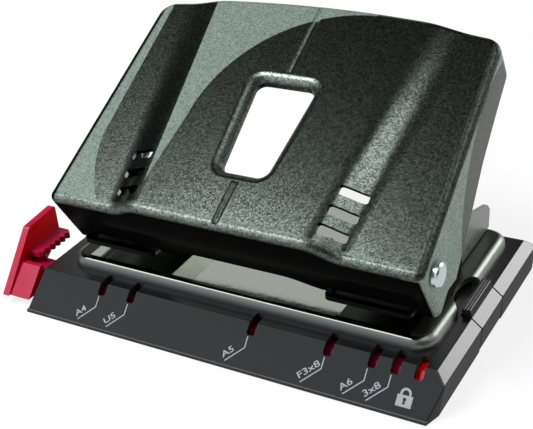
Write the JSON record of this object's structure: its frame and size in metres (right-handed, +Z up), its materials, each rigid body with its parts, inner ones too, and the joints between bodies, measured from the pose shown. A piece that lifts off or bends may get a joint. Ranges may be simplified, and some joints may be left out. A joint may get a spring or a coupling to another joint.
{
  "type": "two-hole punch",
  "caption": "Desk hole punch for filing holes: sloped stamped lever over a flat bed, sprung punches, a pull-out paper guide and a chip door in a low moulded base.",
  "frame": {"origin": "on the resting plane, below the middle of the two punched holes", "axes": "+X along the width, to the right as the format marks are read; +Y from the open paper side to the rear; +Z up"},
  "size_m": [0.1213, 0.0725, 0.0647],
  "materials": {
    "base_plastic": "fine grain, dark charcoal",
    "mat_rubber": "matte black",
    "zinc_steel": "zinc plated",
    "bright_nickel": "bright nickel plate",
    "frame_steel": "nickel plated sheet",
    "tool_steel": "ground",
    "spring_steel": "drawn wire",
    "lever_paint": "metallic gunmetal and silver",
    "guide_red": "moulded red"
  },
  "bodies": {
    "base": {"base_shell": "base_plastic", "base_floor": "base_plastic", "base_screws": "zinc_steel", "non_slip_mat": "mat_rubber", "bed_plate": "bright_nickel", "door_hinge_pin": "zinc_steel", "punch_frame_left": "frame_steel", "punch_frame_right": "frame_steel", "frame_rivets": "zinc_steel", "upper_guide_left": "frame_steel", "upper_guide_right": "frame_steel", "return_spring_left": "spring_steel", "return_spring_right": "spring_steel", "pivot_pin_left": "bright_nickel", "pivot_pin_right": "bright_nickel"},
    "lever": {"lever": "lever_paint", "presser_left": "frame_steel", "presser_right": "frame_steel"},
    "left punch": {"punch_left": "tool_steel", "spring_clip_left": "spring_steel"},
    "right punch": {"punch_right": "tool_steel", "spring_clip_right": "spring_steel"},
    "paper guide": {"paper_guide": "guide_red"},
    "chip door": {"chip_door": "base_plastic"}
  },
  "joints": [
    {"name": "lever_pivot", "type": "hinge", "parent": "base", "child": "lever", "pos_m": [0, -0.017, 0.02801], "axis": [-1, 0, 0], "range_deg": [0, 21.85], "stiffness_Nm_per_rad": 0.9, "springref_deg": -14.32},
    {"name": "left_punch_slide", "type": "slide", "parent": "base", "child": "left punch", "axis": [0, 0, -1], "range_m": [0, 0.00661], "deforming": ["return_spring_left"]},
    {"name": "right_punch_slide", "type": "slide", "parent": "base", "child": "right punch", "axis": [0, 0, -1], "range_m": [0, 0.00661], "deforming": ["return_spring_right"]},
    {"name": "guide_slide", "type": "slide", "parent": "base", "child": "paper guide", "axis": [-1, 0, 0], "range_m": [0, 0.0855]},
    {"name": "door_hinge", "type": "hinge", "parent": "base", "child": "chip door", "pos_m": [0.054, 0.00335, 0.0026], "axis": [0, 1, 0], "range_deg": [0, 85]}
  ],
  "couplings": [
    {"joint": "left_punch_slide", "follows": "lever_pivot", "m_per_rad": 0.017307},
    {"joint": "right_punch_slide", "follows": "lever_pivot", "m_per_rad": 0.017307}
  ]
}
